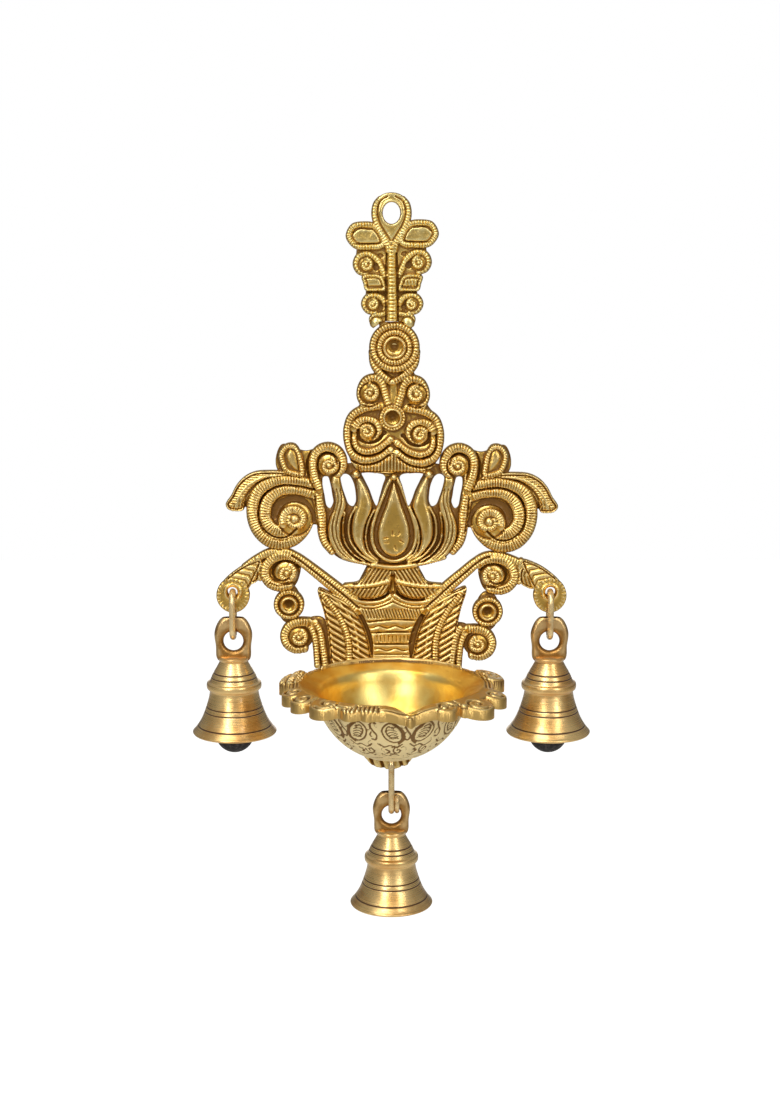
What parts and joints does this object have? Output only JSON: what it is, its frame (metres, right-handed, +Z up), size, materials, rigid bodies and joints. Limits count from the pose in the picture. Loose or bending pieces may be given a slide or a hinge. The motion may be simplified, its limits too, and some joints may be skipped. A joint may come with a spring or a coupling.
{
  "type": "hanging wall diya",
  "caption": "Cast brass hanging wall oil lamp: a pierced lotus and scroll back panel with a hanging eye, a lobed oil bowl and bells that swing on wire links.",
  "frame": {"origin": "centre of the hanging eye's hole, on the wall plane", "axes": "+Z up, +X to the viewer's right, the front faces -Y, the wall plane is y = 0"},
  "size_m": [0.1672, 0.0948, 0.2996],
  "materials": {
    "cast_brass": "cast relief, chased and polished on the crests, dark brown in the grooves",
    "polished_brass": "polished inside, chased outside",
    "turned_brass": "satin, lathe turned",
    "brass_wire": "drawn wire",
    "screw_brass": "plain",
    "iron": "dark oxide"
  },
  "bodies": {
    "root": {"back_panel": "cast_brass", "finial": "cast_brass", "diya_bowl": "polished_brass", "screw_left": "screw_brass", "screw_right": "screw_brass"},
    "left_link": {"left_link": "brass_wire"},
    "left_bell": {"left_bell": "turned_brass", "left_staple": "iron"},
    "left_clapper": {"left_clapper_rod": "iron", "left_clapper_ball": "iron"},
    "right_link": {"right_link": "brass_wire"},
    "right_bell": {"right_bell": "turned_brass", "right_staple": "iron"},
    "right_clapper": {"right_clapper_rod": "iron", "right_clapper_ball": "iron"},
    "bottom_link": {"bottom_link": "brass_wire"},
    "bottom_bell": {"bottom_bell": "turned_brass", "bottom_staple": "iron"},
    "bottom_clapper": {"bottom_clapper_rod": "iron", "bottom_clapper_ball": "iron"}
  },
  "joints": [
    {"name": "left_link_swing", "type": "hinge", "parent": "root", "child": "left_link", "pos_m": [-0.066, -0.0018, -0.1555], "axis": [0, 1, 0], "range_deg": [-20, 20]},
    {"name": "left_bell_nod", "type": "hinge", "parent": "left_link", "child": "left_bell", "pos_m": [-0.066, -0.0018, -0.1702], "axis": [1, 0, 0], "range_deg": [-10, 10]},
    {"name": "left_clapper_swing", "type": "hinge", "parent": "left_bell", "child": "left_clapper", "pos_m": [-0.066, -0.0018, -0.1929], "axis": [1, 0, 0], "range_deg": [-14, 14]},
    {"name": "right_link_swing", "type": "hinge", "parent": "root", "child": "right_link", "pos_m": [0.066, -0.0018, -0.1555], "axis": [0, 1, 0], "range_deg": [-20, 20]},
    {"name": "right_bell_nod", "type": "hinge", "parent": "right_link", "child": "right_bell", "pos_m": [0.066, -0.0018, -0.1702], "axis": [1, 0, 0], "range_deg": [-10, 10]},
    {"name": "right_clapper_swing", "type": "hinge", "parent": "right_bell", "child": "right_clapper", "pos_m": [0.066, -0.0018, -0.1929], "axis": [1, 0, 0], "range_deg": [-14, 14]},
    {"name": "bottom_link_swing", "type": "hinge", "parent": "root", "child": "bottom_link", "pos_m": [0, -0.0018, -0.2255], "axis": [0, 1, 0], "range_deg": [-20, 20]},
    {"name": "bottom_bell_nod", "type": "hinge", "parent": "bottom_link", "child": "bottom_bell", "pos_m": [0, -0.0018, -0.2462], "axis": [1, 0, 0], "range_deg": [-10, 10]},
    {"name": "bottom_clapper_swing", "type": "hinge", "parent": "bottom_bell", "child": "bottom_clapper", "pos_m": [0, -0.0018, -0.2689], "axis": [1, 0, 0], "range_deg": [-14, 14]}
  ]
}
